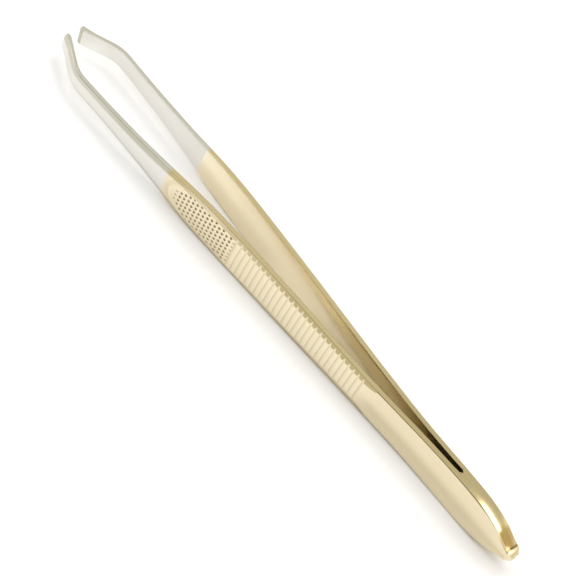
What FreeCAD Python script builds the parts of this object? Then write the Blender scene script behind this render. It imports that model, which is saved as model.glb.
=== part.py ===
import FreeCAD, Part
import math
import os

from FreeCAD import Vector

# Slant tweezers: two bowed spring-steel legs, spot-welded to a thin spacer at the heel.
# Lengths are in millimetres.  While the shapes are made, X runs from the heel end (0) to
# the tips, Y = 0 is the plane between the legs and Z = 0 is the middle of their width.
# save() then moves each piece to the object's own frame: the origin is on the surface that
# the lower long edges stand on, under the middle of the object, and +X points to the tips.

# Driving dimensions
LENGTH = 95.0              # heel end to tips
HALF_WIDTH = 3.52          # half of the widest place of a leg, which stands on the surface
LEG_THICKNESS = 0.79       # plain strip, behind the grip
GRIP_THICKNESS = 0.88      # ribbed part of the grip
PAD_THICKNESS = 0.94       # dimpled pad at the front of the grip
JAW_THICKNESS = 0.80       # narrow front of the leg
SPACER_THICKNESS = 0.66    # strip welded between the two heels
SPACER_LENGTH = 12.5       # heel end to the closed end of the slot
PIVOT_X = 27.5             # where the bending of a leg stands as one hinge
PLATING_X = 69.4           # gold plating behind, nickel in front
TIP_HALF_GAP = 1.10        # half of the opening at the tips, at rest
TIP_HALF_WIDTH = 1.48
TIP_SLANT = 7.0            # degrees that the working edge leans back, from top to bottom
CLOSED_ANGLE = 0.93        # degrees that a leg turns until the tips meet

# Grip
RIB_PITCH = 0.943
RIB_GROOVES = 28
RIB_START_X = 30.17        # groove nearest to the heel
RIB_GROOVE_WIDTH = 0.44
RIB_GROOVE_DEPTH = 0.09
PAD_ROUND_X = 66.2         # centre of the pad's round front
PAD_ROUND_RADIUS = 2.95
PIT_COLUMNS = 16
PIT_START_X = 56.02        # column of dimples nearest to the ribs
PIT_COLUMN_PITCH = 0.732
PIT_ROW_PITCH = 0.825
PIT_ROWS = 7               # every second column, the first one included, holds one fewer
PIT_RADIUS = 0.24
PIT_DEPTH = 0.14
PIT_FIELD_X = 64.6         # centre of the round front of the dimpled field
PIT_FIELD_RADIUS = 2.62

# Hinge and welds
PIVOT_CLEARANCE = 0.02     # between the round end of a leg and its seat in the heel
WELD_RADIUS = 1.1
WELD_HALF_HEIGHT = 0.55    # the weld runs through the spacer and into both heel plates
WELD_X = (5.8, 9.8)

# Heel seen from the side: a round nose, then place along the leg and half width there
NOSE_RADIUS = 0.85
HEEL_OUTLINE = ((NOSE_RADIUS, NOSE_RADIUS), (1.95, 1.48), (3.25, 2.22), (5.9, 3.08),
                (10.0, 3.50), (20.0, 3.22), (PIVOT_X, 3.06))
# Leg in front of the pivot: place, half gap inside, half width, thickness, width of the
# square long edge, height of the bevel beside it
LEG_SECTIONS = (
    (PIVOT_X, 0.91, 3.06, LEG_THICKNESS, 0.75, 0.30),
    (31.0, 1.11, 3.06, GRIP_THICKNESS, 0.72, 0.92),
    (36.0, 1.39, 3.17, GRIP_THICKNESS, 0.72, 1.00),
    (43.0, 1.74, 3.37, GRIP_THICKNESS, 0.72, 1.00),
    (50.0, 2.07, 3.49, GRIP_THICKNESS, 0.72, 0.90),
    (56.0, 2.42, HALF_WIDTH, 0.92, 0.73, 0.62),
    (62.0, 2.78, 3.34, PAD_THICKNESS, 0.73, 0.50),
    (67.0, 3.05, 2.95, PAD_THICKNESS, 0.70, 0.60),
    (70.0, 3.21, 2.60, 0.89, 0.62, 0.90),
    (73.0, 3.34, 2.28, JAW_THICKNESS, 0.57, 1.02),
    (77.0, 3.48, 1.94, JAW_THICKNESS, 0.56, 0.92),
    (82.0, 3.64, 1.65, JAW_THICKNESS, 0.55, 0.80),
    (86.5, 3.79, 1.51, JAW_THICKNESS, 0.54, 0.70),
    (88.2, 3.79, TIP_HALF_WIDTH, JAW_THICKNESS, 0.54, 0.67),
    (89.5, 3.55, TIP_HALF_WIDTH, JAW_THICKNESS, 0.54, 0.64),
    (91.0, 2.86, TIP_HALF_WIDTH, JAW_THICKNESS, 0.54, 0.60),
    (93.0, 1.86, TIP_HALF_WIDTH, JAW_THICKNESS, 0.54, 0.57),
    (96.0, 0.29, TIP_HALF_WIDTH, 1.05, 0.79, 0.55),
)

REACH = 12.0               # more than any piece's height, for cutting tools
UP = Vector(0, 0, 1)


def closed_line(points):
    return Part.makePolygon(list(points) + [points[0]])


def slab(corners):
    """Prism with the given outline in the XY plane, taller than the legs are wide."""
    floor = [Vector(corner.x, corner.y, -REACH / 2) for corner in corners]
    return Part.Face(closed_line(floor)).extrude(UP * REACH)


def leg_frame(x):
    """Point on the inner face at x, direction along the leg, outward normal, thickness."""
    for rear, front in zip(LEG_SECTIONS, LEG_SECTIONS[1:]):
        if rear[0] <= x <= front[0]:
            share = (x - rear[0]) / (front[0] - rear[0])
            half_gap = rear[1] + share * (front[1] - rear[1])
            thickness = rear[3] + share * (front[3] - rear[3])
            along = Vector(front[0] - rear[0], front[1] - rear[1], 0).normalize()
            return Vector(x, half_gap, 0), along, Vector(-along.y, along.x, 0), thickness
    raise ValueError("no leg at this place")


def leg_section(index):
    """Six-sided outline of the leg, square to its length, with both outer edges bevelled."""
    x, half_gap, half_width, thickness, edge, bevel = LEG_SECTIONS[index]
    rear = LEG_SECTIONS[max(index - 1, 0)]
    front = LEG_SECTIONS[min(index + 1, len(LEG_SECTIONS) - 1)]
    along = Vector(front[0] - rear[0], front[1] - rear[1], 0).normalize()
    outward = Vector(-along.y, along.x, 0)
    corners = ((0, -half_width), (edge, -half_width), (thickness, bevel - half_width),
               (thickness, half_width - bevel), (edge, half_width), (0, half_width))
    return closed_line([Vector(x, half_gap, z) + outward * depth for depth, z in corners])


def outside_pad():
    """What lies above the jaw's thickness in front of the pad's round front."""
    low = []
    high = []
    for x in (PAD_ROUND_X, PLATING_X, 72.8):
        point, _, outward, _ = leg_frame(x)
        low.append(point + outward * JAW_THICKNESS)
        high.append(point + outward * REACH)
    layer = slab(low + high[::-1])
    start = Vector(PAD_ROUND_X, -REACH, 0)
    pad = Part.makeCylinder(PAD_ROUND_RADIUS, 3 * REACH, start, Vector(0, 1, 0))
    return layer.cut(pad)


def rib_grooves():
    """V-grooves across the outer face, evenly spaced along the leg."""
    grooves = []
    for number in range(RIB_GROOVES):
        point, along, outward, thickness = leg_frame(RIB_START_X + number * RIB_PITCH)
        face = point + outward * thickness
        rise = outward * RIB_GROOVE_DEPTH
        side = along * RIB_GROOVE_WIDTH
        grooves.append(slab([face - rise, face + rise + side, face + rise - side]))
    return Part.makeCompound(grooves)


def pit_places():
    """Place along the leg and height of each dimple on the pad, in staggered columns."""
    for column in range(PIT_COLUMNS):
        x = PIT_START_X + column * PIT_COLUMN_PITCH
        rows = PIT_ROWS - (column + 1) % 2
        for row in range(rows):
            z = (row - (rows - 1) / 2) * PIT_ROW_PITCH
            if math.hypot(max(x - PIT_FIELD_X, 0), z) < PIT_FIELD_RADIUS:
                yield x, z


def pad_pits():
    """Shallow round dimples, each the cap of a ball."""
    ball_radius = (PIT_RADIUS ** 2 + PIT_DEPTH ** 2) / (2 * PIT_DEPTH)
    balls = []
    for x, z in pit_places():
        point, _, outward, thickness = leg_frame(x)
        centre = point + outward * (thickness + ball_radius - PIT_DEPTH) + UP * z
        balls.append(Part.makeSphere(ball_radius, centre))
    return Part.makeCompound(balls)


def tip_grinding():
    """What is ground away at the tip: its slanted end, and the land where the tips meet."""
    lean = Vector(math.sin(math.radians(TIP_SLANT)), 0, math.cos(math.radians(TIP_SLANT)))
    corner = Vector(LENGTH, -REACH, TIP_HALF_WIDTH)
    ahead = Vector(REACH, 0, 0)
    end = [corner - lean * REACH, corner - lean * REACH + ahead,
           corner + lean * REACH + ahead, corner + lean * REACH]
    end_block = Part.Face(closed_line(end)).extrude(Vector(0, 3 * REACH, 0))
    rise = math.tan(math.radians(CLOSED_ANGLE))
    front = Vector(LENGTH + REACH, TIP_HALF_GAP + REACH * rise, 0)
    rear = Vector(LENGTH - REACH, TIP_HALF_GAP - REACH * rise, 0)
    down = Vector(0, REACH, 0)
    return Part.makeCompound([end_block, slab([rear, front, front - down, rear - down])])


def pivot_point():
    point, _, outward, _ = leg_frame(PIVOT_X)
    return point + outward * (LEG_THICKNESS / 2)


def pivot_cylinder(radius, half_length):
    return Part.makeCylinder(radius, 2 * half_length, pivot_point() - UP * half_length)


def spot_welds():
    """Lens-shaped nuggets that join the two heel plates through the spacer."""
    radius = (WELD_RADIUS ** 2 + WELD_HALF_HEIGHT ** 2) / (2 * WELD_HALF_HEIGHT)
    side = Vector(0, radius - WELD_HALF_HEIGHT, 0)
    lenses = []
    for x in WELD_X:
        centre = Vector(x, 0, 0)
        lower = Part.makeSphere(radius, centre - side)
        lenses.append(Part.makeSphere(radius, centre + side).common(lower))
    return Part.makeCompound(lenses)


def heel_block():
    """The heel's outline from the side, as a block wider than both legs."""
    across = Vector(0, -REACH, 0)
    outline = []
    for sign in (1, -1):
        curve = Part.BSplineCurve()
        curve.interpolate([Vector(x, 0, sign * half) + across for x, half in HEEL_OUTLINE])
        outline.append(curve.toShape())
    corners = [Vector(NOSE_RADIUS, 0, NOSE_RADIUS), Vector(), Vector(NOSE_RADIUS, 0, -NOSE_RADIUS)]
    outline.append(Part.Arc(*[corner + across for corner in corners]).toShape())
    x, half = HEEL_OUTLINE[-1]
    outline.append(Part.makeLine(Vector(x, 0, -half) + across, Vector(x, 0, half) + across))
    wire = Part.Wire(Part.__sortEdges__(outline))
    return Part.Face(wire).extrude(Vector(0, 2 * REACH, 0))


def heel_plate(welds):
    """Rear of the leg: flat against the spacer, then bending away up to its pivot seat."""
    inner_start = Vector(SPACER_LENGTH, SPACER_THICKNESS / 2, -REACH / 2)
    inner_end, along, outward, _ = leg_frame(PIVOT_X)
    inner_end = inner_end - UP * (REACH / 2)
    edges = []
    for depth in (0, LEG_THICKNESS):
        bend_start = inner_start + Vector(0, depth, 0)
        bend_end = inner_end + outward * depth
        bend = Part.BSplineCurve()
        bend.interpolate(Points=[bend_start, bend_end],
                         Tangents=[Vector(1, 0, 0), along], TangentFlags=[True, True])
        edges.append(Part.makeLine(bend_start - Vector(SPACER_LENGTH, 0, 0), bend_start))
        edges.append(bend.toShape())
    edges.append(Part.makeLine(inner_end, inner_end + outward * LEG_THICKNESS))
    rear = inner_start - Vector(SPACER_LENGTH, 0, 0)
    edges.append(Part.makeLine(rear, rear + Vector(0, LEG_THICKNESS, 0)))
    plan = Part.Face(Part.Wire(Part.__sortEdges__(edges))).extrude(UP * REACH)
    seat = pivot_cylinder(LEG_THICKNESS / 2 + PIVOT_CLEARANCE, REACH / 2)
    return plan.common(heel_block()).cut(seat).cut(welds)


def heel_spacer(welds):
    """Thin strip between the heel plates, with the same outline from the side."""
    half = SPACER_THICKNESS / 2
    strip = Part.makeBox(SPACER_LENGTH, 2 * half, REACH, Vector(0, -half, -REACH / 2))
    return strip.common(heel_block()).cut(welds)


def leg_pieces():
    """The +Y leg in front of its pivot, in two pieces: gold shank and nickel jaw."""
    blank = Part.makeLoft([leg_section(index) for index in range(len(LEG_SECTIONS))], True)
    blank = blank.fuse(pivot_cylinder(LEG_THICKNESS / 2, LEG_SECTIONS[0][2])).removeSplitter()
    blank = blank.cut(outside_pad()).cut(tip_grinding())
    rear_half = Part.makeBox(PLATING_X, REACH, REACH, Vector(0, -REACH / 4, -REACH / 2))
    shank = blank.common(rear_half).cut(rib_grooves()).cut(pad_pits())
    return shank, blank.cut(rear_half)


def opposite(shape):
    """The same piece on the -Y leg."""
    return shape.mirror(Vector(0, 0, 0), Vector(0, 1, 0))


def save(name, shape):
    solids = shape.translated(Vector(-LENGTH / 2, 0, HALF_WIDTH)).Solids
    piece = solids[0] if len(solids) == 1 else Part.makeCompound(solids)
    piece.exportStep(os.path.join("parts", name + ".step"))
    print(name, len(solids), "solids", round(piece.Volume, 3), "mm3", piece.isValid())


def main():
    os.makedirs("parts", exist_ok=True)
    welds = spot_welds()
    plate = heel_plate(welds)
    shank, jaw = leg_pieces()
    for side, turn in (("left", lambda shape: shape), ("right", opposite)):
        save(side + "_heel_plate", turn(plate))
        save(side + "_shank", turn(shank))
        save(side + "_jaw", turn(jaw))
    save("heel_spacer", heel_spacer(welds))
    save("spot_welds", welds)
    pivot = pivot_point()
    print("left pivot at", round(pivot.x - LENGTH / 2, 4), round(pivot.y, 4))


main()
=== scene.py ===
import math

import bpy
import numpy as np
from mathutils import Matrix, Vector


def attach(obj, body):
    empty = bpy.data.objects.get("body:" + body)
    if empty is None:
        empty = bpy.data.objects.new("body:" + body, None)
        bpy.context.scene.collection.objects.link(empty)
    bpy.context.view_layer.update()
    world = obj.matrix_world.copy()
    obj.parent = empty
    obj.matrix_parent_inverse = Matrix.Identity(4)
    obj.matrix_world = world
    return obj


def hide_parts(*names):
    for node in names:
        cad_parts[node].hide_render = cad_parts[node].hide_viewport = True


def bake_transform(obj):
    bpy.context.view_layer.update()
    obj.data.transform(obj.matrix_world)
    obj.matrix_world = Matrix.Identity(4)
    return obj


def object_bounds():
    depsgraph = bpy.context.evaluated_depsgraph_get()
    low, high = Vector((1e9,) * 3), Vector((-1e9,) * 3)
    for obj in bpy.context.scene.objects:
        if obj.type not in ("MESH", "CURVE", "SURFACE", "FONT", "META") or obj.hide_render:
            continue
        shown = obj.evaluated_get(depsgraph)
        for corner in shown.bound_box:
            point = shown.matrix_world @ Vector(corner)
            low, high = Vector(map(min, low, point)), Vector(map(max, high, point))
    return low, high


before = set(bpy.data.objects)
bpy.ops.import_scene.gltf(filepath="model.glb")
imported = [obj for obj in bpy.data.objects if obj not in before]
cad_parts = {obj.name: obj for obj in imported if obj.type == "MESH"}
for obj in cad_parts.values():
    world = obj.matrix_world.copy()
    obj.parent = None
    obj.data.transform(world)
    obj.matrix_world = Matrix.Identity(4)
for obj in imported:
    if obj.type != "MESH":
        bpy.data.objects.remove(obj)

# Slant tweezers.  Lengths are in millimetres until a mesh is made.  Along a leg, station 0
# is the heel end and LENGTH is the tips; z = 0 is the middle of the leg's width, and depth
# runs outwards from the leg's inner face.  A pair named ..._RISE or ..._FALL gives the
# station where a smooth step starts or ends, and its length.  A pair in a longer list gives
# a station and the value there.

MM = 0.001
CAD_BOX = [list(corner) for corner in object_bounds()]
LENGTH = (CAD_BOX[1][0] - CAD_BOX[0][0]) / MM
MIDDLE_X = (CAD_BOX[1][0] + CAD_BOX[0][0]) / 2 / MM
MIDDLE_Z = (CAD_BOX[1][2] + CAD_BOX[0][2]) / 2 / MM
FLOOR_Z = CAD_BOX[0][2]

# Strip between the heels
SPACER_HALF = 0.33
SPACER_LENGTH = 12.3
SPACER_OVERLAP = 0.012     # into each leg
SPACER_PROUD = 0.003       # above the legs' edges
SPACER_BAY = 0.35          # hollow of its front end
SPACER_BAY_LENGTH = 1.5
SPACER_END = 0.4           # part whose rings are not the legs' rings

# Leg, seen from above: half gap of the bowed part without its jaw, and the straight jaw
PLATING_X = 69.4           # gold behind, nickel in front
BOW = ((-8.0, 0.33), (4.0, 0.33), (13.0, 0.34), (20.0, 0.50), (28.0, 0.94), (38.0, 1.47),
       (50.0, 2.07), (62.0, 2.76), (72.0, 3.29), (80.0, 3.60), (89.0, 3.87), (98.0, 4.08))
JAW_BEND = 0.72            # how far the bend into the jaw is rounded
JAW_SLOPE = -0.523
JAW_TIP_SLOPE = -0.35
JAW_KNEE = (93.0, 1.86)
TIP_HALF_GAP = 1.10
TIP_LAND_SLOPE = math.tan(math.radians(0.93))
TIP_SLANT = math.tan(math.radians(7.0))
LEAN_START = 90.0          # from here to the tips the rings lean over to the slant

# Leg, seen from the side: half width, with a round nose at the heel
OUTLINE = ((0.80, 0.93), (1.95, 1.48), (3.25, 2.22), (4.6, 2.72), (5.9, 3.06),
           (8.0, 3.36), (10.5, 3.45), (20.0, 3.20), (30.0, 3.05), (42.0, 3.35), (54.0, 3.52),
           (64.0, 3.22), (72.0, 2.40), (80.0, 1.74), (88.0, 1.50), (96.0, 1.47))
NOSE_LENGTH = 0.80
NOSE_HALF = 0.93
NOSE_DROP = 0.40           # share of the depth that the nose loses at its end
NOSE_DROP_LENGTH = 0.7
NOSE_BULGE = 0.25

# Leg, across: outer face, bevel beside each long edge, and the square edge below it
DOME = ((0.0, 0.05), (20.0, 0.08), (32.0, 0.08), (66.0, 0.09), (74.0, 0.04), (95.0, 0.02))
CREST_DEPTH = ((27.0, 0.79), (30.0, 0.87), (68.0, 0.88), (73.0, 0.86), (95.0, 0.83))
EDGE_WIDTH = ((27.0, 0.70), (29.5, 0.71), (66.0, 0.70), (70.0, 0.62), (73.0, 0.57), (95.0, 0.53))
REAR_BEVEL = 0.20
BEVEL_START = 27.8
BEVEL_HEIGHT = ((31.0, 0.90), (42.0, 0.95), (52.0, 0.92), (57.0, 0.70), (66.0, 0.62),
                (70.0, 0.74), (73.0, 0.78), (77.0, 0.70), (82.0, 0.62), (86.5, 0.56), (95.0, 0.44))
JAW_BEVEL_START = 69.0     # the bevel is curved behind this station and flat in front
BEVEL_CURVE_LENGTH = 6.0
BEVEL_CURVE = 0.75
ROUNDING = 0.05            # long edges of the strip
CLOSED_ROUNDING = 0.004    # inner edges where the leg lies on the spacer
SLOT_OPENING = 1.5
CORNER = 0.3               # how far a rounding's middle point is cut in, as a share of it
EDGE_SHARES = (0.0, 0.06, 0.5, 0.94, 1.0)
EDGE_CROWN = 0.006
CROWN = 0.13               # rise of the heel's top and bottom edges towards the spacer
CROWN_HALF = 1.12
CROWN_FALL = (15.0, 3.0)

# Ribs
RIB_PITCH = 0.943
RIB_GROOVES = 28
RIB_START = 30.25
GROOVE_HALF_WIDTH = 0.22
GROOVE_DEPTH = 0.10

# Pad: round front edge with a shoulder down to the jaw, a sunk rim, and dimples
PAD_CENTRE = 66.2
PAD_RADIUS = 2.95
SHOULDER = 0.45
JAW_FACE = 0.84
RIM_DEPTH = 0.05
RIM_HALF_WIDTH = 0.32
PIT_COLUMNS = 16
PIT_START = 56.02
PIT_COLUMN_PITCH = 0.732
PIT_ROW_PITCH = 0.825
PIT_ROWS = 7
PIT_RADIUS = 0.25
PIT_STRETCH = 1.2          # dimples are longer along the leg
PIT_DEPTH = 0.13
PIT_FIELD_CENTRE = 64.6
PIT_FIELD_RADIUS = 2.62
PIT_FRONT_RISE = (1.87, 0.6)     # distance from the field's centre
PIT_FRONT_FADE = 0.38      # dimples along the field's round front are shallower
PIT_FIRST_DEPTH = 0.65     # so is the first column

# Painted light and shade, and the ground and matt finish, as shares from 0 to 1 that the plating
# material mixes.  'Tone' is painted shade, mixed towards the bevels' shade colour; 'sheen' is
# painted sheen.
# Painted shade on the upper bevels of the grip and jaw, and a painted dark line along the heel's
# corner.
BEVEL_TONE_PEAK = ((45.0, 0.92), (51.0, 0.80), (57.0, 0.68), (60.5, 0.42), (64.5, 0.48),
                   (67.0, 0.85))
BEVEL_TONE_STEEPNESS = 2.8
BEVEL_TONE_POWER = 0.7
JAW_TONE_STEEPNESS = 4
JAW_TONE_LOSS = 0.3
JAW_TONE_RISE = (76.0, 10.0)
HEEL_LINE = ((2.4, 1.0), (3.3, 0.0), (6.0, 0.0), (7.6, 1.0))
HEEL_LINE_STEEPNESS = 2
# Painted highlight where a groove cuts into the upper bevel: the painted shade is cut back there.
NOTCH_TONE = 0.25          # where a groove cuts into the upper bevel
# Painted shade in the rib grooves; the ridge beside each groove is left lighter, a painted
# highlight.
GROOVE_TONE = 0.44
GROOVE_TONE_WIDTH = 0.13
RIDGE_TONE = 0.08
RIDGE_PLACE = 0.3          # of the pitch, from the groove
RIB_TONE_MARGIN = 0.4
RIB_TONE_FADE = 0.2
RIB_TONE_CUT = 1.5         # how fast it ends down the bevel
# Painted shade in a band along the pad's sunk rim.
RIM_TONE = 0.17
RIM_TONE_PLACE = -0.42     # from the pad's round edge
RIM_TONE_HALF = 0.55
RIM_TONE_STEEPNESS = 1.6
# Painted shade on the smooth rear face, for the floor's shadow that it reflects.
REAR_BASE_TONE = 0.09
REAR_FACE_TONE = 0.26
REAR_FACE_FALL = (30.0, 3.0)
REAR_UPPER_FALL = (0.34, 0.60)   # heights, as shares of the half width
REAR_LOWER_FALL = (-0.20, 0.55)
REAR_LOWER_FADE = 0.75
# Painted shade on the rear long edges.
REAR_EDGE_TONE = 0.32
REAR_EDGE_FALL = (34.0, 14.0)
# Painted reflection: the rear of the inner face takes some of the ground colour, golden brown.
INNER_PAINTED_REFLECTION = 0.22
INNER_PAINTED_REFLECTION_FALL = (46.0, 14.0)
# Painted sheen on the inner face, lost lower down towards the tips and in the slot, which paints
# shade there.
INNER_BLEND = 0.9          # height over which the inner face's upper half takes over
LOWER_SHEEN = 0.85
LOWER_SHEEN_FALL = (56.0, 8.0)
SLOT_FALL = (44.0, 10.0)
SLOT_LOSS_LOWER = 0.90
SLOT_LOSS_UPPER = 0.35
# Painted sheen near the tips and on the ribs, and a painted highlight on an arc before the
# dimples.
JAW_SHEEN = 0.38
JAW_SHEEN_RISE = (90.0, 2.5)
RIB_SHEEN = 0.35
RIB_SHEEN_LOWER = 0.65
RIB_SHEEN_RISE = (29.0, 2.0)
RIB_SHEEN_FALL = (57.0, 2.0)
RIB_SHEEN_LOW = (0.42, 0.9)     # at mid height, and its gain for each half width further down
ARC_SHEEN = 0.6           # bright arc between the rim and the dimples
ARC_RADIUS = 1.98
ARC_HALF_WIDTH = 0.36
ARC_SHEEN_LOW = (0.8, 1.2)
LAND_START = 94.44         # the faces that meet at the tips are ground
# Painted shade on the ground faces at the tips.
LAND_TONE = 0.8
# Painted shade in the crease before the nose; the nose itself is kept clear of painted shade.
CREASE_X = 0.84            # dark crease before the nose
CREASE_WIDTH = 0.15
CREASE_CAVITY = 0.8
CREASE_CORE = 0.5          # the crease's own tone stays where it is over this
MATT_X = 0.79
NOSE_GROUND_LOSS = 0.5

# Mesh density: rows across, and first station, end and step of the rings along a leg
BEVEL_ROWS = 10
FACE_ROWS = 92
INNER_STRIDE = 4
SIDE_POINTS = len(EDGE_SHARES) + 2
NOSE_RING_ANGLES = (4, 10, 18, 27, 36, 46, 56, 66, 76, 84, 89)
RIB_RING_OFFSETS = (-0.38, -0.22, -0.15, -0.075, 0.0, 0.075, 0.15, 0.22, 0.38, 0.4715)
RING_STEPS = ((0.82, 1.3, 0.06), (1.3, 4, 0.16), (4, 12, 0.32), (12, 27.5, 0.45),
              (27.5, 29.7, 0.14), (56.2, 67.8, 0.06), (67.8, PLATING_X, 0.1),
              (PLATING_X, 73, 0.2), (73, 86.5, 0.4), (86.5, 94, 0.14),
              (94, LENGTH + 0.01, 0.05))

# Plating
GOLD = (0.83, 0.74, 0.545)
GOLD_DEEP = (0.79, 0.685, 0.47)
# Colours of the painted sheen, of the ground faces and painted reflection, and of painted shade.
GOLD_PAINTED_SHEEN = (0.965, 0.875, 0.665)
GOLD_GROUND_AND_REFLECTION = (0.71, 0.60, 0.335)
GOLD_PAINTED_SHADE = (0.44, 0.355, 0.17)
NICKEL = (0.78, 0.765, 0.72)
NICKEL_DEEP = (0.73, 0.71, 0.66)
# Colours of the painted sheen, of the ground faces, and of painted shade.
NICKEL_PAINTED_SHEEN = (0.95, 0.94, 0.91)
NICKEL_GROUND = (0.685, 0.68, 0.58)
NICKEL_PAINTED_SHADE = (0.49, 0.475, 0.385)
# Colour painted darkest at the bottom of each dimple, and as painted shade in the crease before
# the nose.
RECESS = (0.19, 0.125, 0.04)
RECESS_MOST = 0.82
BORDER_HALF = 0.4          # half length of the change from gold to nickel
CLOUD_MOST = 0.2
ROUGHNESS = (0.12, 0.22)
MATT_ROUGHNESS = 0.24
SCRATCH_STRENGTH = 0.05
SCRATCH_DEPTH = 0.02

# Studio.  A card is a darker patch of the sky: its direction, the cosines of the angles to
# its outer and inner edge, and its colour.
PAPER = (0.915, 0.918, 0.924)
FLOOR_HALF = 1.5           # metres
SKY_STRENGTH = 2.10
SKY = (1.0, 1.0, 1.0)
HORIZON = (0.26, 0.245, 0.225)
HORIZON_TOP = 0.75
BACKDROP = (0.93, 0.93, 0.93)
CARDS = (
    ((0.0, 0.0, 1.0), (0.94, 0.985), (0.50, 0.49, 0.475)),
    ((0.24, 0.84, 0.48), (0.70, 0.90), (0.12, 0.11, 0.095)),
    ((-0.74, -0.42, 0.52), (0.84, 0.97), (0.36, 0.29, 0.18)),
    ((0.12, -0.62, 0.77), (0.79, 0.90), (0.375, 0.365, 0.345)),
)

# Camera: the direction from the object to it, its right, and its distance in metres
CAMERA_DIRECTION = Vector((-0.2257, 0.5576, 0.7988))
CAMERA_RIGHT = Vector((-0.6305, -0.7087, 0.3165))
CAMERA_DISTANCE = 0.3205
CAMERA_LENS = 147.44
CAMERA_SHIFT = (0.0042, -0.0005)


def spline_through(points):
    """Natural cubic spline through the points, as a function."""
    x, y = np.array(points, float).T
    gaps = np.diff(x)
    count = len(x)
    system = np.eye(count)
    right = np.zeros(count)
    for i in range(1, count - 1):
        system[i, i - 1:i + 2] = gaps[i - 1], 2 * (gaps[i - 1] + gaps[i]), gaps[i]
        right[i] = 6 * ((y[i + 1] - y[i]) / gaps[i] - (y[i] - y[i - 1]) / gaps[i - 1])
    bends = np.linalg.solve(system, right)

    def value(at):
        at = np.clip(at, x[0], x[-1])
        i = np.clip(np.searchsorted(x, at) - 1, 0, count - 2)
        ahead = (at - x[i]) / gaps[i]
        behind = 1 - ahead
        pull = (behind ** 3 - behind) * bends[i] + (ahead ** 3 - ahead) * bends[i + 1]
        return behind * y[i] + ahead * y[i + 1] + gaps[i] ** 2 / 6 * pull

    return value


def line_through(points):
    """Straight lines through the points, as a function."""
    x, y = np.array(points, float).T
    return lambda at: np.interp(at, x, y)


def smooth_step(value):
    value = np.clip(value, 0, 1)
    return value * value * (3 - 2 * value)


def rising(value, start, length):
    return smooth_step((value - start) / length)


def falling(value, end, length):
    return smooth_step((end - value) / length)


def lower_part(height, at_middle, gain):
    return smooth_step(at_middle - gain * height)


bow = spline_through(BOW)
outline = spline_through(OUTLINE)
dome = spline_through(DOME)
crest_depth = line_through(CREST_DEPTH)
edge_width = line_through(EDGE_WIDTH)
bevel_in_front = line_through(BEVEL_HEIGHT)
bevel_tone_peak = line_through(BEVEL_TONE_PEAK)
heel_line = line_through(HEEL_LINE)


def half_width(station):
    """Half width of a leg, with the round nose at the heel."""
    back = 1 - np.clip(station / NOSE_LENGTH, 0, 1)
    nose = NOSE_HALF * np.sqrt(1 - back ** 2)
    return np.where(station < NOSE_LENGTH, nose, outline(station))


def half_gap(station):
    """Distance of the leg's inner face from the plane between the legs."""
    before = JAW_KNEE[1] + JAW_SLOPE * (station - JAW_KNEE[0])
    after = JAW_KNEE[1] + JAW_TIP_SLOPE * (station - JAW_KNEE[0])
    jaw = np.maximum(before, after)
    straight = bow(station)
    share = np.maximum(JAW_BEND - np.abs(straight - jaw), 0) / JAW_BEND
    return np.minimum(straight, jaw) - share ** 2 * JAW_BEND / 4


def tip_inset(station):
    """How far the inner face stands in from the line of half_gap near the tip."""
    line = JAW_KNEE[1] + JAW_SLOPE * (station - JAW_KNEE[0])
    land = TIP_HALF_GAP + TIP_LAND_SLOPE * (station - LENGTH)
    return np.where(station > JAW_KNEE[0], half_gap(station) - np.maximum(line, land), 0)


def bevel_height(station):
    """Height of the bevel, which starts as a quarter round at the rear of the grip."""
    length = BEVEL_HEIGHT[0][0] - BEVEL_START
    run = np.clip((station - BEVEL_START) / length, 0, 1)
    return REAR_BEVEL + bevel_in_front(station) * np.sqrt(1 - (1 - run) ** 2)


def across_heel(depth):
    """Place across the heel, from 0 at its middle to 1 where its crown ends."""
    return np.clip((SPACER_HALF + depth) / CROWN_HALF, 0, 1)


def heel_crown(station, depth):
    """Height of the crown across the heel, at a depth in a leg."""
    return CROWN * falling(station, *CROWN_FALL) * (1 - across_heel(depth) ** 2)


def nose_bulge(station, across):
    """How far the nose stands out backwards at a place across the heel."""
    return NOSE_BULGE * np.maximum(1 - station / NOSE_LENGTH, 0) * (1 - across ** 2)


def groove_depth(station):
    """V-grooves between the ribs."""
    number = np.clip(np.round((station - RIB_START) / RIB_PITCH), 0, RIB_GROOVES - 1)
    away = np.abs(station - RIB_START - number * RIB_PITCH)
    return GROOVE_DEPTH * np.clip(1 - away / GROOVE_HALF_WIDTH, 0, 1)


def pit_places():
    """Station, z and relative depth of each dimple."""
    for column in range(PIT_COLUMNS):
        station = PIT_START + column * PIT_COLUMN_PITCH
        rows = PIT_ROWS - (column + 1) % 2
        for row in range(rows):
            z = (row - (rows - 1) / 2) * PIT_ROW_PITCH
            reach = math.hypot(max(station - PIT_FIELD_CENTRE, 0), z)
            if reach < PIT_FIELD_RADIUS:
                front = rising(reach, *PIT_FRONT_RISE) * (station > PIT_FIELD_CENTRE)
                yield station, z, (1 - PIT_FRONT_FADE * front) * (1 if column else PIT_FIRST_DEPTH)


def pit_depth(station, z):
    depth = np.zeros_like(z)
    for pit_station, pit_z, strength in pit_places():
        near = np.abs(station[:, 0] - pit_station) < PIT_RADIUS * PIT_STRETCH
        along = (station[near] - pit_station) / PIT_STRETCH
        away = np.hypot(along, z[near] - pit_z) / PIT_RADIUS
        depth[near] = np.maximum(depth[near], strength * PIT_DEPTH * np.clip(1 - away ** 2, 0, 1))
    return depth


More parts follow.
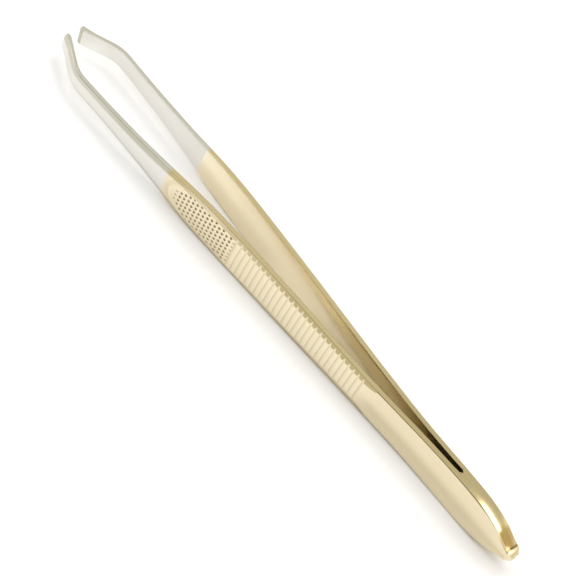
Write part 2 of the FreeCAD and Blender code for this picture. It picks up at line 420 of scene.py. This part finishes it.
def rib_tone(station):
    """Painted shade of the ribs: most in the grooves, least beside them towards the tips, where a
    painted highlight stays.
    """
    number = np.round((station - RIB_START) / RIB_PITCH)
    away = station - RIB_START - number * RIB_PITCH
    groove = np.exp(-(away / GROOVE_TONE_WIDTH) ** 2)
    ridge = np.exp(-((away - RIDGE_PLACE * RIB_PITCH) / GROOVE_TONE_WIDTH) ** 2)
    last = RIB_START + (RIB_GROOVES - 1) * RIB_PITCH
    inside = rising(station, RIB_START - RIB_TONE_MARGIN, RIB_TONE_FADE)
    inside = inside * falling(station, last + RIB_TONE_MARGIN, RIB_TONE_FADE)
    return inside * (GROOVE_TONE * groove + RIDGE_TONE * (1 - ridge) * (1 - groove))


def rear_tone(station, height):
    """Painted shade of the smooth rear face, for the floor's shadow that it reflects: most just
    below its middle.
    """
    below = falling(height, *REAR_UPPER_FALL)
    lowest = falling(height, *REAR_LOWER_FALL)
    face = REAR_BASE_TONE + REAR_FACE_TONE * below * (1 - REAR_LOWER_FADE * lowest)
    return falling(station, *REAR_FACE_FALL) * face


def bevel_tone(station, z, down):
    """Painted shade on the bevels, by how far down each the point lies, with a painted dark line
    along the heel's corner; the lower bevels are painted darkest at their bottom edge.
    """
    tone = bevel_tone_peak(station)
    tone = tone * np.minimum(down * BEVEL_TONE_STEEPNESS, 1) ** BEVEL_TONE_POWER
    jaw = np.minimum(down * JAW_TONE_STEEPNESS, 1)
    jaw = jaw * (1 - JAW_TONE_LOSS * rising(station, *JAW_TONE_RISE))
    tone = np.where(station > JAW_BEVEL_START, jaw, tone)
    rear = heel_line(station) * np.minimum(down * HEEL_LINE_STEEPNESS, 1)
    tone = np.where(station < BEVEL_START, rear, tone)
    # The lower bevels are painted darkest at their bottom edge, painted shade for the floor's
    # shadow they face.
    return np.where(z < 0, down, tone)


def outer_face(station, z):
    """Depth of the outer face, with its dome, bevels, grooves, dimples and pad shoulder.
    Also gives, from 0 to 1, how deep each point lies in a dimple, and its tone of painted shade."""
    wide = half_width(station)
    bevel = bevel_height(station)
    crest = crest_depth(station)
    on_pad_front = station > PAD_CENTRE
    inside = 1 - np.clip(np.abs(z) / (wide - bevel), 0, 1.05) ** 2
    face = crest + dome(station) * inside
    beyond = np.hypot(np.maximum(station - PAD_CENTRE, 0), z) - PAD_RADIUS
    lowered = smooth_step(beyond / SHOULDER + 0.5) * on_pad_front
    face = face - lowered * np.maximum(face - JAW_FACE, 0)
    rim = np.clip(1 - np.abs(beyond + RIM_HALF_WIDTH * 2) / RIM_HALF_WIDTH, 0, 1)
    face = face - RIM_DEPTH * smooth_step(rim) * on_pad_front
    groove = groove_depth(station)
    pit = pit_depth(station, z)
    down = np.clip((np.abs(z) - (wide - bevel)) / bevel, 0, 1)
    curved = falling(station, JAW_BEVEL_START, BEVEL_CURVE_LENGTH)
    fall = down + curved * (down ** 2 - down) * BEVEL_CURVE
    bevelled = crest + (edge_width(station) - crest) * fall
    depth = np.where(down > 0, np.minimum(face - groove, bevelled), face - groove - pit)
    cavity = np.where(down > 0, 0, pit / PIT_DEPTH)

    # Painted shade on bevels, grooves, rear face and rim, cut back to a painted highlight at
    # notches and ridges.
    tone = bevel_tone(station, z, down)
    tone = np.where((depth < bevelled) & (z > 0), NOTCH_TONE * tone, tone)
    tone = np.maximum(tone, rib_tone(station) * np.clip(1 - RIB_TONE_CUT * down, 0, 1))
    tone = np.maximum(tone, rear_tone(station, z / wide))
    # Painted shade along the rim.
    rim_band = 1 - np.abs(beyond - RIM_TONE_PLACE) / RIM_TONE_HALF
    rim_tone = RIM_TONE * smooth_step(RIM_TONE_STEEPNESS * rim_band) * on_pad_front
    tone = np.maximum(tone, rim_tone * (1 - down))
    return depth, cavity, tone


def stations():
    """Where the rings of a leg's mesh are: close together where there is detail."""
    parts = [NOSE_LENGTH * (1 - np.cos(np.radians(NOSE_RING_ANGLES)))]
    parts += [np.arange(*steps) for steps in RING_STEPS]
    for number in range(RIB_GROOVES):
        parts.append(RIB_START + number * RIB_PITCH + np.array(RIB_RING_OFFSETS))
    return np.unique(np.round(np.concatenate(parts), 4))


def ring_sections(s):
    """Cross-sections of the leg at stations s, a column of numbers.  Gives z and depth of
    each ring's points, the z of those on the outer face, and the dimples and tone there.
    A ring runs up the outer face, over the upper edge, down the inner face and back."""
    wide = half_width(s)
    bevel = bevel_height(s)
    edge = edge_width(s)
    free = rising(s, SPACER_LENGTH, SLOT_OPENING)
    inner_round = CLOSED_ROUNDING + (ROUNDING - CLOSED_ROUNDING) * free
    crest = wide - bevel
    top = crest + (bevel - ROUNDING) * np.linspace(0, 1, BEVEL_ROWS + 1)[None, :]
    middle = crest * np.linspace(-1, 1, FACE_ROWS + 1)[None, :]
    z_outer = np.concatenate([-top[:, ::-1], middle[:, 1:-1], top], axis=1)
    outer_depth, cavity, tone = outer_face(np.broadcast_to(s, z_outer.shape), z_outer)
    z_inner = np.concatenate([z_outer[:, :-1:INNER_STRIDE], z_outer[:, -1:]], axis=1)
    z_inner = (z_inner * ((wide - inner_round) / (wide - ROUNDING)))[:, ::-1]
    share = np.array([EDGE_SHARES])
    z_side = wide + EDGE_CROWN * free * 4 * share * (1 - share)
    side_depth = (edge - ROUNDING) + (inner_round - edge + ROUNDING) * share
    outer_corner = wide - ROUNDING * CORNER
    outer_corner_depth = edge - ROUNDING * CORNER
    inner_corner = wide - inner_round * CORNER
    inner_corner_depth = inner_round * CORNER
    z = np.concatenate([
        z_outer, outer_corner, z_side, inner_corner, z_inner,
        -inner_corner, -z_side[:, ::-1], -outer_corner], axis=1)
    depth = np.concatenate([
        outer_depth, outer_corner_depth, side_depth, inner_corner_depth, np.zeros_like(z_inner),
        inner_corner_depth, side_depth[:, ::-1], outer_corner_depth], axis=1)
    return z, depth, z_outer, cavity, tone


def leg_points(s, z, depth):
    """Points of the leg: its sections bowed, with a nose at the heel and a slant at the tip."""
    edge = edge_width(s)
    depth = depth * (1 - NOSE_DROP * np.maximum(1 - s / NOSE_DROP_LENGTH, 0) ** 2)
    gap = half_gap(s)
    along = np.hstack([np.ones_like(s), np.gradient(gap[:, 0], s[:, 0])[:, None]])
    along /= np.linalg.norm(along, axis=1)[:, None]
    reach = np.clip(1 - depth / edge, 0, 1)
    x = s - nose_bulge(s, across_heel(depth)) - along[:, 1:] * depth
    y = gap + along[:, :1] * depth - tip_inset(s) * reach
    end = LENGTH + TIP_SLANT * (z - half_width(np.array([LENGTH])))
    lean = rising(s, LEAN_START, LENGTH - LEAN_START)
    stretch = 1 + lean * ((end - LEAN_START) / (x[-1] - LEAN_START) - 1)
    x = np.where(s > LEAN_START, LEAN_START + (x - LEAN_START) * stretch, x)
    return np.stack([x, y, z], axis=2)


def inner_painted_sheen(s, height):
    """Painted sheen on the inner face, brightest on its upper half: its lower half loses it
    towards the tips, and all of it in the slot, which paints shade there."""
    upper = smooth_step(height / INNER_BLEND + 0.5)
    painted_sheen = upper + (1 - upper) * LOWER_SHEEN * falling(s, *LOWER_SHEEN_FALL)
    loss = SLOT_LOSS_LOWER + (SLOT_LOSS_UPPER - SLOT_LOSS_LOWER) * upper
    painted_sheen = painted_sheen * (1 - falling(s, *SLOT_FALL) * loss)
    return np.where(s > PLATING_X, JAW_SHEEN * rising(s, *JAW_SHEEN_RISE), painted_sheen)


def outer_painted_sheen(s, z, wide):
    """Painted sheen of the ribs and painted highlight of the arc in front of the dimples, both
    most below.
    """
    ribs = rising(s, *RIB_SHEEN_RISE) * falling(s, *RIB_SHEEN_FALL)
    ribs = ribs * (RIB_SHEEN + RIB_SHEEN_LOWER * lower_part(z / wide, *RIB_SHEEN_LOW))
    from_centre = np.hypot(s - PAD_CENTRE, z)
    arc = smooth_step(1 - np.abs(from_centre - ARC_RADIUS) / ARC_HALF_WIDTH) * (s > PAD_CENTRE)
    return np.maximum(ribs, ARC_SHEEN * arc * lower_part(z / wide, *ARC_SHEEN_LOW))


def heel_painted_shade_and_matt(s):
    """Painted shade in the crease before the nose and on the long edges with it, the nose kept
    clear of it, and the matt nose.
    """
    crease = np.exp(-((s - CREASE_X) / CREASE_WIDTH) ** 2)
    edge_tone = REAR_EDGE_TONE * falling(s, *REAR_EDGE_FALL) * (s > CREASE_X)
    nose = falling(s, CREASE_X, CREASE_WIDTH)
    matt = falling(s, MATT_X, CREASE_WIDTH)
    return crease, np.maximum(crease, edge_tone), nose, matt


def leg_rings():
    """Stations of the rings round a leg, their points, their finish with its painted shade and
    sheen, the number of points on the outer face, and the number in a ring."""
    s = stations()[:, None]
    wide = half_width(s)
    z, depth, z_outer, cavity, tone = ring_sections(s)
    size = z.shape[1]
    outer = slice(0, z_outer.shape[1])
    inner = slice(outer.stop + SIDE_POINTS, size - SIDE_POINTS)
    on_side = np.ones((1, size), bool)
    on_side[:, outer] = False
    on_side[:, inner] = False
    rise = heel_crown(s, depth) - heel_crown(s, edge_width(s))
    z = np.where(on_side, z + np.sign(z) * rise, z)

    # Layers of painted shade, painted sheen, painted reflection, dimples, and the ground and matt
    # finish.
    finish_and_painted_light = {name: np.zeros_like(z) for name in ("cavity", "ground", "bevel", "painted_sheen")}
    finish_and_painted_light["cavity"][:, outer] = cavity
    finish_and_painted_light["ground"][on_side.repeat(len(s), 0)] = 1
    # Painted reflection on the rear of the inner face.
    finish_and_painted_light["ground"][:, inner] = INNER_PAINTED_REFLECTION * falling(s, *INNER_PAINTED_REFLECTION_FALL)
    finish_and_painted_light["bevel"][:, outer] = tone
    finish_and_painted_light["bevel"][:, outer.stop] = tone[:, -1]
    finish_and_painted_light["bevel"][:, -1] = tone[:, 0]
    # Painted sheen on the inner and outer faces.
    finish_and_painted_light["painted_sheen"][:, inner] = inner_painted_sheen(s, z[:, inner] / wide)
    finish_and_painted_light["painted_sheen"][:, outer] = outer_painted_sheen(s, z_outer, wide)
    land = s[:, 0] > LAND_START
    finish_and_painted_light["ground"][land, inner] = 1
    # Painted shade on the faces that meet at the tips.
    finish_and_painted_light["bevel"][land, inner] = LAND_TONE
    # Painted shade in the crease and on the rear long edges; the nose is kept clear of it.
    crease, edge_tone, nose, matt = heel_painted_shade_and_matt(s)
    bevel = np.where(on_side, np.maximum(finish_and_painted_light["bevel"], edge_tone), finish_and_painted_light["bevel"])
    finish_and_painted_light["bevel"] = bevel * (1 - nose * (edge_tone < CREASE_CORE))
    finish_and_painted_light["ground"] *= 1 - NOSE_GROUND_LOSS * nose
    finish_and_painted_light["cavity"] = np.where(
        on_side, np.maximum(finish_and_painted_light["cavity"], CREASE_CAVITY * crease), finish_and_painted_light["cavity"])
    finish_and_painted_light["matt"] = matt.repeat(size, 1)
    return s[:, 0], leg_points(s, z, depth), finish_and_painted_light, outer.stop, size


def make_mesh(name, points, faces, side, ring_size):
    """Object from rings of points in leg millimetres, with sharp edges round both ends.
    side is 1 for the left leg, -1 for the right."""
    placed = points * np.array([MM, MM * side, MM])
    placed += np.array([(MIDDLE_X - LENGTH / 2) * MM, 0, MIDDLE_Z * MM])
    if side < 0:
        faces = [face[::-1] for face in faces]
    mesh = bpy.data.meshes.new(name)
    mesh.from_pydata(placed.tolist(), [], faces)
    mesh.shade_smooth()
    ends = np.empty(2 * len(mesh.edges), dtype=np.int32)
    mesh.edges.foreach_get("vertices", ends)
    rings = ends.reshape(-1, 2) // ring_size
    last = len(points) // ring_size - 1
    sharp = (rings[:, 0] == rings[:, 1]) & ((rings[:, 0] == 0) | (rings[:, 0] == last))
    layer = mesh.attributes.new("sharp_edge", "BOOLEAN", "EDGE")
    layer.data.foreach_set("value", sharp)
    mesh.update()
    piece = bpy.data.objects.new(name, mesh)
    bpy.context.scene.collection.objects.link(piece)
    return piece


def ring_faces(rings, size):
    """Quads between neighbouring closed rings."""
    faces = []
    for ring in range(rings - 1):
        for i in range(size):
            j = (i + 1) % size
            a = ring * size
            faces.append((a + size + i, a + size + j, a + j, a + i))
    return faces


def end_faces(base, outer_count, size):
    """Closes a ring: each inner point joins the outer points across from it."""
    inner_start = outer_count + SIDE_POINTS
    inner_count = math.ceil((outer_count - 1) / INNER_STRIDE) + 1
    inner = [inner_start + i for i in range(inner_count)][::-1]
    outer_stops = list(range(0, outer_count - 1, INNER_STRIDE)) + [outer_count - 1]
    faces = []
    for i in range(inner_count - 1):
        outer = list(range(outer_stops[i], outer_stops[i + 1] + 1))
        faces.append([base + k for k in outer + [inner[i + 1], inner[i]]])
    top = list(range(outer_count - 1, inner_start + 1))
    bottom = list(range(inner_start + inner_count - 1, size)) + [0]
    faces.append([base + k for k in top])
    faces.append([base + k for k in bottom])
    return faces


def add_layer(piece, name, values):
    layer = piece.data.attributes.new(name, "FLOAT", "POINT")
    layer.data.foreach_set("value", np.ascontiguousarray(values, dtype=np.float32).ravel())


def leg_pieces(side):
    """Gold and nickel parts of one leg."""
    s, points, finish_and_painted_light, outer_count, size = leg_rings()
    split = int(np.argmin(np.abs(s - PLATING_X)))
    pieces = []
    for name, first, last in (("gold_leg", 0, split), ("nickel_jaw", split, len(s) - 1)):
        part = points[first:last + 1]
        faces = ring_faces(len(part), size)
        faces += end_faces(0, outer_count, size)
        faces += [face[::-1] for face in end_faces((len(part) - 1) * size, outer_count, size)]
        label = ("left_" if side > 0 else "right_") + name
        piece = make_mesh(label, part.reshape(-1, 3), faces, side, size)
        for layer, values in finish_and_painted_light.items():
            add_layer(piece, layer, values[first:last + 1])
        pieces.append(piece)
    return pieces


def spacer_piece():
    """Strip between the heels, seen as the end of the slot and as part of the heel's edge."""
    leg_stations = stations()
    end = SPACER_LENGTH - SPACER_BAY + SPACER_BAY * np.sin(np.radians([0, 25, 50, 75, 90]))
    before = leg_stations[leg_stations < SPACER_LENGTH - SPACER_END]
    s = np.concatenate([before, end])[:, None]
    y = (SPACER_HALF + SPACER_OVERLAP) * np.array([[-1, -0.98, -0.5, 0, 0.5, 0.98, 1, 1,
                                                    1, 0.98, 0.5, 0, -0.5, -0.98, -1, -1]])
    z = np.array([[1, 1, 1, 1, 1, 1, 1, 0, -1, -1, -1, -1, -1, -1, -1, 0]])
    size = y.shape[1]
    rise = heel_crown(s, np.abs(y) - SPACER_HALF) - heel_crown(s, edge_width(s))
    top = half_width(s) + SPACER_PROUD + rise
    near_end = rising(s, SPACER_LENGTH - SPACER_BAY_LENGTH, SPACER_BAY_LENGTH)
    x = s + SPACER_BAY * (y / SPACER_HALF) ** 2 * near_end - nose_bulge(s, y / CROWN_HALF)
    points = np.stack([x, y + 0 * s, top * z], axis=2)
    faces = ring_faces(len(s), size)
    last = (len(s) - 1) * size
    faces.append(list(range(size)))
    faces.append([last + i for i in range(size)][::-1])
    piece = make_mesh("heel_spacer_plating", points.reshape(-1, 3), faces, 1, size)
    crease, edge_tone, nose, matt = heel_painted_shade_and_matt(s)
    # The spacer takes the same painted shade in the crease and on its edges.
    for name, values in (("cavity", CREASE_CAVITY * crease), ("bevel", edge_tone),
                         ("ground", 1 - NOSE_GROUND_LOSS * nose), ("matt", matt)):
        add_layer(piece, name, values.repeat(size, 1))
    return piece


class Nodes:
    """Short way to write the node tree of a material or a world."""

    def __init__(self, owner):
        owner.use_nodes = True
        self.tree = owner.node_tree

    def add(self, kind, **settings):
        node = self.tree.nodes.new("ShaderNode" + kind)
        for key, value in settings.items():
            setattr(node, key, value)
        return node

    def join(self, source, target):
        self.tree.links.new(source, target)

    def layer(self, name):
        """One of the numbers that a mesh has at each point."""
        return self.add("Attribute", attribute_name=name).outputs["Fac"]

    def noise(self, scale, detail, stretch):
        place = self.add("TexCoord")
        mapping = self.add("Mapping")
        mapping.inputs["Scale"].default_value = stretch
        self.join(place.outputs["Object"], mapping.inputs["Vector"])
        noise = self.add("TexNoise")
        noise.inputs["Scale"].default_value = scale
        noise.inputs["Detail"].default_value = detail
        self.join(mapping.outputs["Vector"], noise.inputs["Vector"])
        return noise.outputs["Fac"]

    def ramp(self, source, low, high, out_low=0, out_high=1, kind="LINEAR"):
        node = self.add("MapRange", interpolation_type=kind)
        for key, value in (("From Min", low), ("From Max", high), ("To Min", out_low),
                           ("To Max", out_high)):
            node.inputs[key].default_value = value
        self.join(source, node.inputs["Value"])
        return node.outputs["Result"]

    def mix(self, factor, first, second):
        node = self.add("Mix", data_type="RGBA")
        self.join(factor, node.inputs["Factor"])
        for value, socket in ((first, node.inputs["A"]), (second, node.inputs["B"])):
            if isinstance(value, tuple):
                socket.default_value = (*value, 1)
            else:
                self.join(value, socket)
        return node.outputs["Result"]


def plating():
    """Gold plating that gives way to nickel in front of the grip."""
    material = bpy.data.materials.new("plating")
    nodes = Nodes(material)
    shader = nodes.tree.nodes["Principled BSDF"]
    place = nodes.add("SeparateXYZ")
    nodes.join(nodes.add("TexCoord").outputs["Object"], place.inputs["Vector"])
    border = MIDDLE_X - LENGTH / 2 + PLATING_X
    front = nodes.ramp(
        place.outputs["X"], (border - BORDER_HALF) * MM, (border + BORDER_HALF) * MM)
    cloud = nodes.ramp(nodes.noise(220, 3, (0.35, 1, 1)), 0.3, 0.7, 0, CLOUD_MOST)
    # Layers of painted sheen, of the ground colour that also carries painted reflection, and of
    # painted shade.
    painted_sheen, ground, bevel = (nodes.layer(name) for name in ("painted_sheen", "ground", "bevel"))

    def metal(plain, deep, sheen_colour, ground_colour, shade_colour):
        colour = nodes.mix(painted_sheen, nodes.mix(cloud, plain, deep), sheen_colour)
        return nodes.mix(bevel, nodes.mix(ground, colour, ground_colour), shade_colour)

    gold = metal(GOLD, GOLD_DEEP, GOLD_PAINTED_SHEEN, GOLD_GROUND_AND_REFLECTION, GOLD_PAINTED_SHADE)
    nickel = metal(NICKEL, NICKEL_DEEP, NICKEL_PAINTED_SHEEN, NICKEL_GROUND, NICKEL_PAINTED_SHADE)
    # Darker towards the bottom of each dimple, and painted shade in the crease before the nose.
    recess = nodes.ramp(nodes.layer("cavity"), 0.1, 0.85, 0, RECESS_MOST)
    colour = nodes.mix(recess, nodes.mix(front, gold, nickel), RECESS)
    nodes.join(colour, shader.inputs["Base Color"])
    shader.inputs["Metallic"].default_value = 1
    rough = nodes.add("Math", operation="MULTIPLY_ADD")
    nodes.join(nodes.layer("matt"), rough.inputs[0])
    rough.inputs[1].default_value = MATT_ROUGHNESS
    nodes.join(nodes.ramp(nodes.noise(900, 4, (0.2, 1, 1)), 0.3, 0.7, *ROUGHNESS), rough.inputs[2])
    nodes.join(rough.outputs[0], shader.inputs["Roughness"])
    bump = nodes.add("Bump")
    bump.inputs["Strength"].default_value = SCRATCH_STRENGTH
    bump.inputs["Distance"].default_value = SCRATCH_DEPTH * MM
    nodes.join(nodes.noise(9000, 2, (0.05, 1, 1)), bump.inputs["Height"])
    nodes.join(bump.outputs["Normal"], shader.inputs["Normal"])
    return material


def make_floor():
    material = bpy.data.materials.new("floor_paper")
    shader = Nodes(material).tree.nodes["Principled BSDF"]
    shader.inputs["Base Color"].default_value = (*PAPER, 1)
    shader.inputs["Roughness"].default_value = 0.9
    mesh = bpy.data.meshes.new("floor")
    corners = ((-1, -1), (1, -1), (1, 1), (-1, 1))
    mesh.from_pydata(
        [(x * FLOOR_HALF, y * FLOOR_HALF, FLOOR_Z) for x, y in corners], [], [(0, 1, 2, 3)])
    floor = bpy.data.objects.new("floor", mesh)
    floor.data.materials.append(material)
    bpy.context.scene.collection.objects.link(floor)


def make_sky():
    """Pale tent of light, dimmer near the horizon and at its cards, with a plain backdrop."""
    world = bpy.data.worlds.new("studio")
    nodes = Nodes(world)
    background = nodes.tree.nodes["Background"]
    direction = nodes.add("TexCoord").outputs["Generated"]

    def towards(target):
        product = nodes.add("VectorMath", operation="DOT_PRODUCT")
        product.inputs[1].default_value = Vector(target).normalized()
        nodes.join(direction, product.inputs[0])
        return product.outputs["Value"]

    height = towards((0, 0, 1))
    tent = nodes.mix(nodes.ramp(height, 0, HORIZON_TOP, kind="SMOOTHSTEP"), HORIZON, SKY)
    for target, edges, colour in CARDS:
        tent = nodes.mix(nodes.ramp(towards(target), *edges, kind="SMOOTHSTEP"), tent, colour)
    seen = nodes.add("LightPath").outputs["Is Camera Ray"]
    nodes.join(nodes.mix(seen, tent, BACKDROP), background.inputs["Color"])
    background.inputs["Strength"].default_value = SKY_STRENGTH
    bpy.context.scene.world = world


def area_light(name, direction, distance, size, radiance, in_metal):
    """Soft light of the given width and height that points at the middle of the object.
    It is seen either in the metal's reflections or in diffuse light only."""
    data = bpy.data.lights.new(name, "AREA")
    data.shape = "RECTANGLE"
    data.size, data.size_y = size
    data.energy = radiance * math.pi * size[0] * size[1]
    lamp = bpy.data.objects.new(name, data)
    direction = Vector(direction).normalized()
    lamp.location = direction * distance
    side = Vector((1, 0, 0)) - direction * direction.x
    side.normalize()
    turn = Matrix((side, direction.cross(side), direction)).transposed()
    lamp.rotation_euler = turn.to_euler()
    lamp.visible_glossy = in_metal
    lamp.visible_diffuse = not in_metal
    bpy.context.scene.collection.objects.link(lamp)


def make_studio():
    make_floor()
    make_sky()
    area_light("key", (0.0, -0.35, 1.0), 0.7, (0.24, 0.22), 4.2, in_metal=False)
    area_light("heel_glint", (-0.405, -0.25, 0.88), 0.7, (0.42, 0.28), 3.4, in_metal=True)
    bpy.context.scene.view_settings.view_transform = "Standard"


def make_camera():
    data = bpy.data.cameras.new("camera")
    data.lens = CAMERA_LENS
    data.sensor_width = 36
    data.clip_start = 0.01
    data.shift_x, data.shift_y = CAMERA_SHIFT
    camera = bpy.data.objects.new("camera", data)
    bpy.context.scene.collection.objects.link(camera)
    back = CAMERA_DIRECTION.normalized()
    right = (CAMERA_RIGHT - back * CAMERA_RIGHT.dot(back)).normalized()
    up = back.cross(right)
    turn = Matrix((right, up, back)).transposed().to_4x4()
    target = Vector((MIDDLE_X * MM, 0, MIDDLE_Z * MM))
    camera.matrix_world = Matrix.Translation(target + back * CAMERA_DISTANCE) @ turn
    bpy.context.scene.camera = camera


def build():
    metal = plating()
    for side, name in ((1, "left"), (-1, "right")):
        body = name + "_leg"
        gold, nickel = leg_pieces(side)
        gold.data.materials.append(metal)
        nickel.data.materials.append(metal)
        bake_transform(gold)
        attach(nickel, body)
        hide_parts(name + "_heel_plate", name + "_shank")
        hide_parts(name + "_jaw")
    spacer = spacer_piece()
    spacer.data.materials.append(metal)
    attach(spacer, "heel")
    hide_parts("heel_spacer")
    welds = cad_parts["spot_welds"]
    for slot in welds.material_slots:
        slot.material = metal


build()
make_studio()
make_camera()
